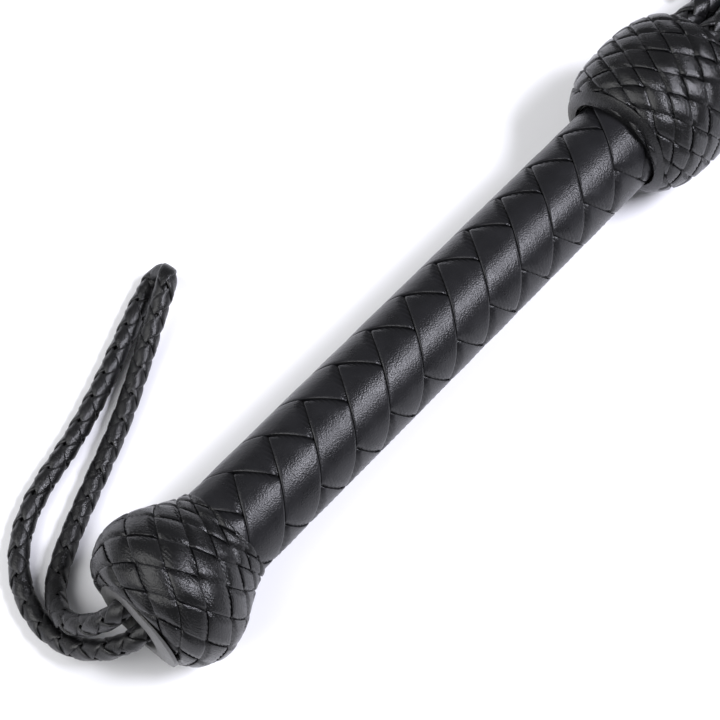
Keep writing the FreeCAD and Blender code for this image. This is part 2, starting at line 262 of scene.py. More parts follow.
@dataclass(frozen=True)
class DrawnSteel:
    """Bright drawn mild steel: fine lines along the wire and a soft metal shine."""

    name: str = "bright_drawn_steel"

    def make(self) -> bpy.types.Material:
        """Build the material.

        Returns:
            A procedural drawn metal.
        """
        material, tree = new_material(self.name)
        place = add_node(tree, "TexCoord").outputs["Object"]
        # Drawing lines 0.1 mm apart along the pin, which stands upright.
        lines = add_node(tree, "Mapping", {"Scale": (9000.0, 9000.0, 120.0)}, {"Vector": place})
        marks = add_node(tree, "TexNoise", {"Scale": 1.0, "Detail": 2.0},
                         {"Vector": lines.outputs["Vector"]})
        polish = add_node(tree, "MapRange", {"To Min": 0.22, "To Max": 0.42},
                          {"Value": marks.outputs["Fac"]})
        tone = add_node(tree, "Mix", {"data_type": "RGBA", 6: linear("#b9b9bc"),
                                      7: linear("#9c9ca1")}, {0: marks.outputs["Fac"]})
        shader = add_node(tree, "BsdfPrincipled", {"Metallic": 1.0},
                          {"Base Color": tone.outputs[2], "Roughness": polish.outputs[0]})
        add_node(tree, "OutputMaterial", {}, {"Surface": shader.outputs[0]})
        return material


@dataclass(frozen=True)
class WaxedThread:
    """Black waxed linen thread whipped side by side: ridges 0.8 mm apart with a waxy sheen."""

    name: str = "waxed_linen_thread"
    pitch_mm: float = 0.8

    def make(self) -> bpy.types.Material:
        """Build the material.

        Returns:
            A procedural whipping.
        """
        material, tree = new_material(self.name)
        place = add_node(tree, "TexCoord").outputs["Object"]
        # A band texture repeats every pi / 10 of its scaled coordinate.
        turns = add_node(tree, "TexWave", {
            "bands_direction": "X", "Scale": math.pi / (10 * self.pitch_mm * MM),
            "Distortion": 0.6}, {"Vector": place})
        # Painted shade: the grooves between turns are coloured darker than the crests, on the same
        # bands as the bump.
        tone = add_node(tree, "Mix", {"data_type": "RGBA", 6: linear("#0f0f10"),
                                      7: linear("#2b2b2d")}, {0: turns.outputs["Fac"]})
        bump = add_node(tree, "Bump", {"Strength": 1.0, "Distance": 0.25 * MM},
                        {"Height": turns.outputs["Fac"]})
        shader = add_node(tree, "BsdfPrincipled", {"IOR": 1.45, "Roughness": 0.5},
                          {"Base Color": tone.outputs[2], "Normal": bump.outputs["Normal"]})
        add_node(tree, "OutputMaterial", {}, {"Surface": shader.outputs[0]})
        return material


# Each leather's fourth colour is painted shade, laid where a strand dips under its neighbour and
# on hidden undersides and cores.
# Finished cowhide, rolled flat and polished: the grain breaks its highlight into specks.
PLAIT_HIDE = Leather("finished_cowhide_strand", "#171719", "#323234", "#050506",
                     roughness=0.3, roughness_spread=0.05, grain_mm=0.45,
                     grain_height_mm=0.055, specular=0.25, rub=0.2)
# The same hide cut narrower and pulled hard over the knots: darker, and its highlights are
# streaked by the stretched fibres.
KNOT_HIDE = Leather("drawn_cowhide_lace", "#0e0e0f", "#2a2a2b", "#030304",
                    roughness=0.26, roughness_spread=0.07, grain_mm=0.4,
                    grain_height_mm=0.06, specular=0.34, rub=0.16, fibre=1.9)
# Flesh side of the lace, turned out where it folds into the mouth: paler and matt to the eye.
FOLDED_HIDE = Leather("folded_cowhide_flesh_side", "#464645", "#5a5a58", "#0a0a0a",
                      roughness=0.4, roughness_spread=0.08, grain_mm=0.6,
                      grain_height_mm=0.07, specular=0.5, rub=0.3)
# Thin lace braided round: tightly stretched, so shiny on each strand's crown.
BRAID_HIDE = Leather("braided_cowhide_lace", "#0f0f10", "#2a2a2a", "#030303",
                     roughness=0.3, roughness_spread=0.09, grain_mm=0.4,
                     grain_height_mm=0.06, specular=0.36, rub=0.2, fibre=1.8)
# Unfinished dyed hide under the cover: matt and fibrous.
BARE_HIDE = Leather("dyed_bare_cowhide", "#1c1b1a", "#2c2b2a", "#1c1b1a",
                    roughness=0.68, roughness_spread=0.08, grain_mm=0.9,
                    grain_height_mm=0.12)
# Vegetable-tanned sleeve under the grip, never dyed.
SLEEVE_HIDE = Leather("undyed_bolster_leather", "#7c5a3c", "#8f6c4b", "#7c5a3c",
                      roughness=0.62, roughness_spread=0.08, grain_mm=0.9,
                      grain_height_mm=0.12)
# Strap leather with a burnished edge.
STRAP_HIDE = Leather("burnished_strap_leather", "#222223", "#4a4a4a", "#0a0a0a",
                     roughness=0.42, roughness_spread=0.08, grain_mm=0.8,
                     grain_height_mm=0.07, specular=0.36)


# --- mesh tools -------------------------------------------------------------------------------
@dataclass
class Patchwork:
    """Vertices, faces and strand marks gathered for one mesh."""

    points: list[np.ndarray] = field(default_factory=list)
    faces: list[tuple[int, ...]] = field(default_factory=list)
    marks: list[np.ndarray] = field(default_factory=list)
    edges: list[np.ndarray] = field(default_factory=list)
    dips: list[np.ndarray] = field(default_factory=list)
    count: int = 0

    def add_rings(self, rings: np.ndarray, marks: np.ndarray | None = None,
                  edges: np.ndarray | None = None, dips: np.ndarray | None = None,
                  closed: bool = False) -> None:
        """Join rings of points into one closed skin.

        Args:
            rings: Points in millimetres, shaped (rings, points in a ring, 3).
            marks: Places along and across the strand, in metres, shaped like rings.
            edges: How near each point is to a cut edge, from 0 to 1.
            dips: How deep each point dips under its neighbour, from 0 to 1; it sets how much
                painted shade the point gets.
            closed: Whether the last ring joins the first, as on a band. Otherwise both
                ends are capped.
        """
        total, around = rings.shape[:2]
        base = self.count
        self.points.append(rings.reshape(-1, 3))
        flat = (total, around)
        self.marks.append((rings * MM if marks is None else marks).reshape(-1, 3))
        self.edges.append((np.zeros(flat) if edges is None else edges).reshape(-1))
        self.dips.append((np.zeros(flat) if dips is None else dips).reshape(-1))
        for i in range(total if closed else total - 1):
            row = base + i * around
            following = base + (i + 1) % total * around
            for k in range(around):
                beside = (k + 1) % around
                self.faces.append((row + k, row + beside, following + beside, following + k))
        if not closed:
            self.faces.append(tuple(base + k for k in reversed(range(around))))
            last = base + (total - 1) * around
            self.faces.append(tuple(last + k for k in range(around)))
        self.count += total * around

    def finish(self, name: str, material: bpy.types.Material,
               sharp_degrees: float = 55.0) -> bpy.types.Object:
        """Make the object.

        Args:
            name: The piece's name.
            material: Its finish.
            sharp_degrees: Edges that bend more than this stay crisp.

        Returns:
            The mesh object, linked to the scene.
        """
        mesh = bpy.data.meshes.new(name)
        mesh.from_pydata((np.concatenate(self.points) * MM).tolist(), [], self.faces)
        for title, parts, kind, slot in (("strand", self.marks, "FLOAT_VECTOR", "vector"),
                                         ("edge", self.edges, "FLOAT", "value"),
                                         ("dip", self.dips, "FLOAT", "value")):
            made = mesh.attributes.new(title, kind, "POINT")
            made.data.foreach_set(slot, np.concatenate(parts).astype(np.float32).ravel())
        skin = bmesh.new()
        skin.from_mesh(mesh)
        bmesh.ops.recalc_face_normals(skin, faces=skin.faces)
        skin.to_mesh(mesh)
        skin.free()
        mesh.polygons.foreach_set("use_smooth", [True] * len(mesh.polygons))
        mesh.set_sharp_from_angle(angle=math.radians(sharp_degrees))
        mesh.update()
        made = bpy.data.objects.new(name, mesh)
        bpy.context.scene.collection.objects.link(made)
        made.data.materials.append(material)
        return made


def ease(x: np.ndarray | float) -> np.ndarray | float:
    """Rise smoothly from 0 at 0 to 1 at 1."""
    x = np.clip(x, 0, 1)
    return x * x * (3 - 2 * x)


def unit(vectors: np.ndarray) -> np.ndarray:
    """Scale vectors to length one, along their last axis."""
    return vectors / np.maximum(np.linalg.norm(vectors, axis=-1, keepdims=True), 1e-9)


def waver(places: np.ndarray, size: float, seed: float) -> np.ndarray:
    """Smooth unevenness of handwork.

    Args:
        places: Points in millimetres, shaped (count, 3).
        size: Distance over which the unevenness changes, in millimetres.
        seed: A number that picks another pattern.

    Returns:
        One value per point, about -1 to 1.
    """
    shift = Vector((seed, 1.7 * seed, -seed))
    return np.array([noise.noise(Vector(p) / size + shift) for p in places.tolist()])


def smooth_line(points: Sequence[tuple[float, ...]], per_span: int) -> np.ndarray:
    """Run a smooth line through points.

    Args:
        points: The points, of two or three coordinates.
        per_span: Steps from one point to the next.

    Returns:
        The line's points.
    """
    given = np.array(points, float)
    padded = np.vstack([2 * given[0] - given[1], given, 2 * given[-1] - given[-2]])
    line = []
    for p0, p1, p2, p3 in zip(padded, padded[1:], padded[2:], padded[3:]):
        for t in np.arange(per_span) / per_span:
            line.append(0.5 * (2 * p1 + (p2 - p0) * t + (2 * p0 - 5 * p1 + 4 * p2 - p3) * t ** 2
                               + (3 * p1 - p0 - 3 * p2 + p3) * t ** 3))
    return np.array(line + [given[-1]])


def finish_piece(piece: bpy.types.Object, body: Body | None, slot: Slot,
                 *replaced: str) -> bpy.types.Object:
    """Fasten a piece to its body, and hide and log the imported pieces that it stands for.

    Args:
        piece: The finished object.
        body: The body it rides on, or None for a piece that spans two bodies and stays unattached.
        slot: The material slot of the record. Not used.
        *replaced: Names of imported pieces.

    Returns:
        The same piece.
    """
    if body is not None:
        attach(piece, body.value)
    if replaced:
        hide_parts(*replaced)
    LOG.info("%s: %d vertices, stands for %s", piece.name, len(piece.data.vertices), replaced)
    return piece


# --- woven covers ------------------------------------------------------------------------------
@dataclass
class Weave:
    """Flat strands plaited both ways on a face turned about the handle's axis.

    The outline runs from the pommel's side to the neck's, as (x, radius) of the outer face.
    A strand leans from the handle's direction by an angle, which may steepen near either end,
    where the lace turns back.
    """

    name: str
    outline: Sequence[tuple[float, float]]
    strands: int
    over: int  # a strand passes over this many, then under as many
    lean_right: float
    lean_left: float
    thickness: float
    dip_length: float
    anchor_x: float
    anchor_angle: float
    gap: float = 0.012
    crown: float = 0.15
    edge_drop: float = 0.22
    edge_width: float = 0.6
    step: float = 0.35
    start_lean: float = 0.0
    start_reach: float = 1.0
    end_lean: float = 0.0
    end_reach: float = 1.0
    uneven_mm: float = 0.3
    seed: float = 3.0
    across: Sequence[float] = (0.0, 0.02, 0.05, 0.1, 0.2, 0.35, 0.5, 0.65, 0.8, 0.9, 0.95, 0.98,
                               1.0)

    def __post_init__(self) -> None:
        """Work out the line of the outline and how far each hand has turned along it."""
        line = smooth_line(self.outline, 24)
        lengths = np.concatenate([[0], np.cumsum(np.linalg.norm(np.diff(line, axis=0), axis=1))])
        self.stations = np.linspace(0, lengths[-1], max(8, int(lengths[-1] / self.step)))
        self.x = np.interp(self.stations, lengths, line[:, 0])
        self.radius = np.interp(self.stations, lengths, line[:, 1])
        slope = unit(np.stack([np.gradient(self.x), np.gradient(self.radius)], axis=1))
        self.out_x = -slope[:, 1]
        self.out_r = slope[:, 0]
        anchor = int(np.argmin(np.abs(self.x - self.anchor_x)))
        self.turn = {}
        self.lean = {}
        for hand, middle in ((Hand.RIGHT, self.lean_right), (Hand.LEFT, self.lean_left)):
            near_start = 1 - ease(self.stations / self.start_reach)
            near_end = 1 - ease((self.stations[-1] - self.stations) / self.end_reach)
            lean = np.radians(middle + (self.start_lean * near_start + self.end_lean * near_end))
            rate = np.degrees(np.tan(lean) / self.radius)
            gone = np.concatenate([[0], np.cumsum((rate[1:] + rate[:-1]) / 2
                                                  * np.diff(self.stations))])
            self.turn[hand] = gone - gone[anchor]
            self.lean[hand] = lean

    def height(self, phase: np.ndarray, cell_length: np.ndarray) -> tuple[np.ndarray, np.ndarray]:
        """Say how high a strand runs and how deep it dips at its place in the pattern.

        Args:
            phase: Place in the pattern, in crossings. The strand is on top up to self.over.
            cell_length: Length of one crossing along the strand.

        Returns:
            Height of its face against the cover's outer face, and how deep it dips, 0 to 1.
        """
        phase = np.mod(phase, 2 * self.over)
        to_seam = np.minimum(phase, self.over - phase) * cell_length
        sunk = 1 - ease(to_seam / self.dip_length)
        return -self.thickness * sunk - 0.03 * (to_seam < 0), sunk

    def strand_rings(self, hand: Hand, number: int) -> tuple[np.ndarray, ...]:
        """Lay out one strand.

        Args:
            hand: Its hand.
            number: Which of the strands of that hand.

        Returns:
            Its rings of points, marks, edges and dips, for Patchwork.add_rings.
        """
        cell = 360 / self.strands
        u = np.array(self.across)
        share = self.gap + u * (1 - 2 * self.gap)
        own = cell * (number + share)[None, :]
        met = self.turn[Hand.RIGHT] + self.turn[Hand.LEFT]
        shift = -1 if hand is Hand.RIGHT else self.over - 1
        phase = number + (own + hand.value * met[:, None]) / cell + shift
        turned_by = hand.value * self.turn[hand][:, None]
        angle = np.radians(self.anchor_angle + own + turned_by)
        per_cell = cell / np.maximum(np.abs(np.gradient(met, self.stations)), 1e-6)
        cell_length = (per_cell / np.cos(self.lean[hand]))[:, None]
        height, sunk = self.height(phase, cell_length)
        width = np.radians(cell) * self.radius * np.cos(self.lean[hand])
        from_edge = np.minimum(u, 1 - u)[None, :] * width[:, None]
        rounding = np.clip(1 - from_edge / self.edge_width, 0, 1) ** 2
        height = height + self.crown * (4 * u * (1 - u) - 1)[None, :] - self.edge_drop * rounding
        top = self.place(angle, height)
        ends = angle[:, [-1, 0]]
        low = self.place(ends, height[:, [-1, 0]] - self.thickness * 0.9)
        rings = np.concatenate([top, low], axis=1)
        along = (self.stations / np.cos(self.lean[hand]))[:, None] * np.ones_like(height)
        marks = np.stack([along + 400.0 * number, u[None, :] * width[:, None] + 37.0 * number,
                          np.full_like(height, 1.0 * hand.value)], axis=2) * MM
        marks = np.concatenate([marks, marks[:, [-1, 0]]], axis=1)
        edges = np.clip(1 - from_edge / (1.3 * self.edge_width), 0, 1)
        edges = np.concatenate([edges, np.ones((len(edges), 2))], axis=1)
        # Painted shade where the strand dips under its neighbour, and all over its hidden
        # underside.
        dips = np.clip(sunk * 1.25 - 0.35, 0, 1) * np.ones_like(height)
        dips = np.concatenate([dips, np.ones((len(dips), 2))], axis=1)
        return rings, marks, edges, dips

    def place(self, angle: np.ndarray, height: np.ndarray) -> np.ndarray:
        """Put points on the cover, uneven as handwork is, and pressed flat on the table.

        Args:
            angle: Angle round the handle, in radians, one row per station.
            height: Height over the outer face, shaped alike.

        Returns:
            Points in millimetres, shaped (stations, points, 3).
        """
        columns = angle.shape[1]
        x = np.repeat(self.x[:, None], columns, axis=1)
        radius = np.repeat(self.radius[:, None], columns, axis=1)
        still = np.stack([x, -radius * np.sin(angle), radius * np.cos(angle)], axis=2)
        flat = still.reshape(-1, 3)
        wander = waver(flat, 15.0, self.seed).reshape(angle.shape) * self.uneven_mm
        swell = waver(flat, 9.0, self.seed + 5).reshape(angle.shape) * 0.35 * self.uneven_mm
        angle = angle + wander / radius
        height = height + swell
        along = waver(flat, 17.0, self.seed + 9).reshape(angle.shape) * self.uneven_mm
        r = radius + height * self.out_r[:, None]
        points = np.stack([x + height * self.out_x[:, None] + along, -r * np.sin(angle),
                           AXIS_Z + r * np.cos(angle)], axis=2)
        points[:, :, 2] = np.maximum(points[:, :, 2], 0.02)
        return points

    def build_strand(self, hand: Hand, number: int,
                     material: bpy.types.Material) -> bpy.types.Object:
        """Make one strand as its own piece.

        Args:
            hand: Its hand.
            number: Which of the strands of that hand, from 0.
            material: Its finish.

        Returns:
            The strand.
        """
        work = Patchwork()
        work.add_rings(*self.strand_rings(hand, number))
        return work.finish(f"{self.name}_{hand.name.lower()}_strand_{number + 1}", material)

    def build_all(self, material: bpy.types.Material) -> bpy.types.Object:
        """Make every strand in one piece, as one long lace makes them.

        Args:
            material: Its finish.

        Returns:
            The woven lace.
        """
        work = Patchwork()
        for hand in Hand:
            for number in range(self.strands):
                work.add_rings(*self.strand_rings(hand, number))
        return work.finish(self.name, material)


@dataclass
class GripCover:
    """The grip's plait of eight strands, a little thinner towards the neck."""

    start_radius: float = 14.85
    end_radius: float = 14.4
    start_x: float = -110.0
    end_x: float = 98.0

    def build(self) -> None:
        """Build the eight strands."""
        material = PLAIT_HIDE.make()
        middle = (self.start_x + self.end_x) / 2
        weave = Weave("grip", [(self.start_x, self.start_radius),
                               (middle, (self.start_radius + self.end_radius) / 2 + 0.08),
                               (self.end_x, self.end_radius)],
                      strands=4, over=2, lean_right=57.1, lean_left=58.5, thickness=0.85,
                      dip_length=1.5, anchor_x=-82.05, anchor_angle=16.7, crown=0.1,
                      edge_drop=0.16, edge_width=0.45)
        for hand in Hand:
            for number in range(weave.strands):
                strand = weave.build_strand(hand, number, material)
                finish_piece(strand, Body.HANDLE, Slot.PLAIT,
                             f"cover_strand_{hand.name.lower()}_{number + 1}")


def turned_ring(profile: Callable[[float], Sequence[tuple[float, float]]], steps: int,
                work: Patchwork) -> None:
    """Turn a closed profile about the handle's axis, with a profile that may vary round it.

    Args:
        profile: Gives the (x, radius) points for an angle in degrees.
        steps: How many places round the axis.
        work: Gets the ring.
    """
    rings = []
    for angle in np.arange(steps) * 360 / steps:
        a = math.radians(angle)
        rings.append([(x, -r * math.sin(a), AXIS_Z + r * math.cos(a)) for x, r in profile(angle)])
    points = np.array(rings)
    points[:, :, 2] = np.maximum(points[:, :, 2], 0.02)
    work.add_rings(points, closed=True)


def hump(angle: float, centre: float, half_width: float) -> float:
    """A smooth rise round an angle, from 0 at its edges to 1 at its centre, in degrees."""
    away = abs((angle - centre + 180) % 360 - 180)
    return float(ease(1 - away / half_width))


@dataclass
class PommelKnot:
    """Covering knot at the wrist loop's end, and the folded ring round its mouth."""

    outline: Sequence[tuple[float, float]] = ((0.5, 12.4), (0.0, 15.4), (1.5, 18.5), (5.0, 21.7),
                                              (11.5, 24.1), (19.0, 23.1), (26.0, 19.3),
                                              (31.0, 16.6), (34.5, 15.5))

    def build(self) -> None:
        """Build the lace and the ring round the mouth."""
        material = KNOT_HIDE.make()
        weave = Weave("pommel_lace", [(POMMEL_X + d, r) for d, r in self.outline], strands=9,
                      over=1, lean_right=60.0, lean_left=60.0, thickness=0.8, dip_length=1.3,
                      anchor_x=-109.0, anchor_angle=6.0, gap=0.02, crown=0.14, edge_drop=0.16,
                      edge_width=0.5, step=0.25, start_lean=12.0, start_reach=5.0,
                      end_lean=12.0, end_reach=12.0, uneven_mm=0.9, seed=11.0,
                      across=(0.0, 0.04, 0.1, 0.22, 0.4, 0.6, 0.78, 0.9, 0.96, 1.0))
        finish_piece(weave.build_all(material), Body.HANDLE, Slot.LACE, "pommel_knot_lace")
        work = Patchwork()
        turned_ring(self.mouth_profile, 120, work)
        ring = work.finish("pommel_mouth_ring", FOLDED_HIDE.make())
        finish_piece(ring, Body.HANDLE, Slot.LACE)

    def mouth_profile(self, angle: float) -> list[tuple[float, float]]:
        """Give the mouth ring's section: set back where the loop leaves, a flap on the near side.

        Args:
            angle: Angle round the handle in degrees.

        Returns:
            The section's (x, radius) points.
        """
        flap = hump(angle, 85.0, 80.0)
        back = 1.1 * hump(angle, -45.0, 70.0)
        front = POMMEL_X - 0.6 + back
        return [(front + 3.2, 8.6), (front, 8.5), (front - 0.6, 9.1),
                (front - 0.6 - 0.6 * flap, 10.2), (front - 0.2 - 1.0 * flap, 12.0 + 1.6 * flap),
                (front + 0.2 - 1.0 * flap, 13.2 + 3.2 * flap),
                (front + 0.7 - 0.6 * flap, 13.3 + 3.3 * flap), (front + 1.6, 12.6),
                (front + 2.6, 11.0)]


@dataclass
class NeckKnot:
    """Covering knot over the tails' roots, with a narrow collar at its grip end."""

    outline: Sequence[tuple[float, float]] = ((2.6, 18.6), (-0.2, 19.3), (0.4, 20.8),
                                              (3.0, 22.2), (9.0, 23.8), (18.0, 24.1),
                                              (27.0, 23.6), (32.0, 22.1), (35.8, 19.9),
                                              (38.6, 16.6))

    def build(self) -> None:
        """Build the lace and its collar."""
        material = KNOT_HIDE.make()
        weave = Weave("neck_lace", [(NECK_X - d, r) for d, r in reversed(self.outline)],
                      strands=11, over=1, lean_right=59.0, lean_left=62.0, thickness=0.8,
                      dip_length=1.2, anchor_x=103.0, anchor_angle=14.0, gap=0.025, crown=0.14,
                      edge_drop=0.16, edge_width=0.5, step=0.25, start_lean=10.0,
                      start_reach=8.0, end_lean=10.0, end_reach=6.0, uneven_mm=0.8, seed=23.0,
                      across=(0.0, 0.04, 0.1, 0.22, 0.4, 0.6, 0.78, 0.9, 0.96, 1.0))
        finish_piece(weave.build_all(material), Body.HANDLE, Slot.LACE, "neck_knot_lace")
        work = Patchwork()
        turned_ring(self.collar_profile, 144, work)
        finish_piece(work.finish("neck_collar", material), Body.HANDLE, Slot.LACE)

    def collar_profile(self, angle: float) -> list[tuple[float, float]]:
        """Give the collar's section: a narrow band that closes the lace's end over the grip.

        Args:
            angle: Angle round the handle in degrees.

        Returns:
            The section's (x, radius) points.
        """
        off = 0.1 + 0.7 * hump(angle, 85.0, 40.0) + 1.3 * hump(angle, -50.0, 45.0)
        start = NECK_X - 39.0 + 0.8 * hump(angle, 22.0, 80.0)
        low = 14.8 + off
        depths = [depth for depth, _ in self.outline[3:]]
        radii = [radius for _, radius in self.outline[3:]]
        wide = 2.6 - 1.2 * hump(angle, 80.0, 65.0)
        rise = float(np.interp(NECK_X - start - wide, depths, radii)) - low
        face = [(start, low), (start + 0.08 * wide, low + 0.3 * rise),
                (start + 0.3 * wide, low + 0.62 * rise),
                (start + 0.62 * wide, low + 0.9 * rise + 0.15),
                (start + 0.88 * wide, low + rise + 0.3), (start + wide, low + rise + 0.1)]
        back = [(start + 0.94 * wide, low + rise - 0.6),
                (start + 0.5 * wide, low + 0.55 * rise - 0.2), (start + 0.12 * wide, low - 0.1)]
        return face + back


# --- braided cords -----------------------------------------------------------------------------
def spline_points(name: str, route: Sequence[Point]) -> np.ndarray:
    """Read a cord's smooth line from a NURBS spline through its route.

    Args:
        name: A name for the spline while it exists.
        route: The route's control points in millimetres.

    Returns:
        Points along the spline in millimetres.
    """
    curve = bpy.data.curves.new(name, "CURVE")
    curve.dimensions = "3D"
    curve.resolution_u = 16
    spline = curve.splines.new("NURBS")
    spline.points.add(len(route) - 1)
    for made, given in zip(spline.points, route):
        made.co = (given[0] * MM, given[1] * MM, given[2] * MM, 1.0)
    spline.order_u = 3
    spline.use_endpoint_u = True
    carrier = bpy.data.objects.new(name, curve)
    bpy.context.scene.collection.objects.link(carrier)
    bpy.context.view_layer.update()
    mesh = bpy.data.meshes.new_from_object(carrier)
    points = np.array([v.co for v in mesh.vertices]) / MM
    bpy.data.meshes.remove(mesh)
    bpy.data.objects.remove(carrier)
    bpy.data.curves.remove(curve)
    return points


@dataclass
class RoundBraid:
    """A round braid of four flat laces over a core, two winding each way, over one, under one."""

    diameter: float
    lead: float
    lace_width: float
    lace_thickness: float
    step: float
    weave_depth: float = 0.5
    sides: int = 10

    def frames(self, line: np.ndarray) -> tuple[np.ndarray, ...]:
        """Carry a frame along a line without twisting it.

        Args:
            line: The cord's points.

        Returns:
            Evenly spaced points, their distances along the line, and two cross directions.
        """
        lengths = np.concatenate([[0], np.cumsum(np.linalg.norm(np.diff(line, axis=0), axis=1))])
        distance = np.linspace(0, lengths[-1], int(lengths[-1] / self.step) + 1)
        centre = np.stack([np.interp(distance, lengths, line[:, k]) for k in range(3)], axis=1)
        heading = unit(np.gradient(centre, axis=0))
        side = np.zeros_like(centre)
        first = np.cross(heading[0], (0.0, 0.0, 1.0))
        side[0] = unit(first)
        for i in range(1, len(centre)):
            carried = side[i - 1] - heading[i] * np.dot(side[i - 1], heading[i])
            side[i] = unit(carried)
        return centre, distance, side, np.cross(heading, side)

    def build(self, name: str, line: np.ndarray, material: bpy.types.Material,
              seed: float) -> bpy.types.Object:
        """Make the braid along a line.

        Args:
            name: The piece's name.
            line: The cord's points in millimetres.
            material: Its finish.
            seed: Picks the unevenness and the start of the winding.

        Returns:
            The braid.
        """
        centre, distance, side, up = self.frames(line)
        work = Patchwork()
        middle = self.diameter / 2 - self.lace_thickness / 2 - self.weave_depth
        uneven = waver(centre, 7.0, seed)
        wound = 2 * math.pi * distance / self.lead + 0.25 * uneven + seed
        for hand in Hand:
            for half in (0, 1):
                angle = hand.value * wound + math.pi * half
                swing = hand.value * np.cos(2 * wound)
                radius = middle + self.weave_depth * swing * (1 + 0.15 * uneven)
                out = np.cos(angle)[:, None] * side + np.sin(angle)[:, None] * up
                path = centre + radius[:, None] * out
                along = unit(np.gradient(path, axis=0))
                wide = unit(np.cross(along, out))
                thick = np.cross(wide, along)
                turn = 2 * np.pi * np.arange(self.sides) / self.sides
                # A flat lace with rounded edges: a circle squared off a little.
                c = np.sign(np.cos(turn)) * np.abs(np.cos(turn)) ** 0.75
                s = np.sign(np.sin(turn)) * np.abs(np.sin(turn)) ** 0.9
                rings = (path[:, None, :]
                         + wide[:, None, :] * (c * self.lace_width / 2)[None, :, None]
                         + thick[:, None, :] * (s * self.lace_thickness / 2)[None, :, None])
                rings[:, :, 2] = np.maximum(rings[:, :, 2], 0.02)
                marks = np.stack([np.repeat(distance[:, None], self.sides, axis=1),
                                  np.repeat((c * self.lace_width / 2)[None, :], len(path), 0)
                                  + 20.0 * half, np.full(rings.shape[:2], 7.0 * hand.value)],
                                 axis=2) * MM
                edges = np.repeat((np.abs(c) ** 3)[None, :], len(path), axis=0)
                # Painted shade where the lace runs under its neighbour.
                dips = np.clip(-swing, 0, 1)[:, None] * 0.7 * np.ones(rings.shape[:2])
                work.add_rings(rings, marks, edges, dips)
        # A core inside the laces, painted all over in the shade colour.
        core = np.arange(8) * math.pi / 4
        rings = (centre[:, None, :] + (middle * 0.9) * (
            np.cos(core)[None, :, None] * side[:, None, :]
            + np.sin(core)[None, :, None] * up[:, None, :]))
        work.add_rings(rings, dips=np.ones(rings.shape[:2]))
        return work.finish(name, material, sharp_degrees=80.0)


@dataclass
class WristLoop:
    """One round braid, both its ends buried in the pommel's mouth."""

    diameter: float = 6.4
    route: Sequence[Point] = (
        (-115.0, 3.4, 28.0),
        (-120.6, 3.6, 29.0), (-125.4, 5.4, 25.4), (-129.6, 10.4, 19.0), (-131.8, 17.4, 12.2),
        (-129.8, 24.6, 7.0), (-124.0, 31.6, 3.8), (-112.0, 38.2, 3.2), (-95.0, 45.2, 3.2),
        (-76.0, 52.9, 3.3), (-60.0, 61.0, 4.6), (-45.0, 68.4, 8.2), (-35.1, 73.0, 11.2),
        (-33.9, 77.2, 7.2), (-38.0, 78.6, 3.3), (-48.6, 74.8, 3.2), (-66.0, 67.4, 3.2),
        (-88.0, 59.4, 3.2), (-108.0, 55.2, 3.2), (-122.4, 48.4, 3.2), (-131.8, 38.0, 3.2),
        (-136.0, 25.6, 3.3), (-135.2, 13.4, 6.6), (-131.0, 4.6, 12.6), (-125.8, -0.8, 18.0),
        (-120.6, -2.8, 20.8), (-115.0, -3.4, 21.6))

    def build(self) -> None:
        line = spline_points("wrist_loop_route", self.route)
        braid = RoundBraid(self.diameter, lead=17.0, lace_width=4.9, lace_thickness=1.5, step=0.7,
                           weave_depth=0.34)
        loop = braid.build("wrist_loop_braid", line, BRAID_HIDE.make(), seed=2.0)
        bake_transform(loop)
        finish_piece(loop, None, Slot.BRAID, "wrist_loop")


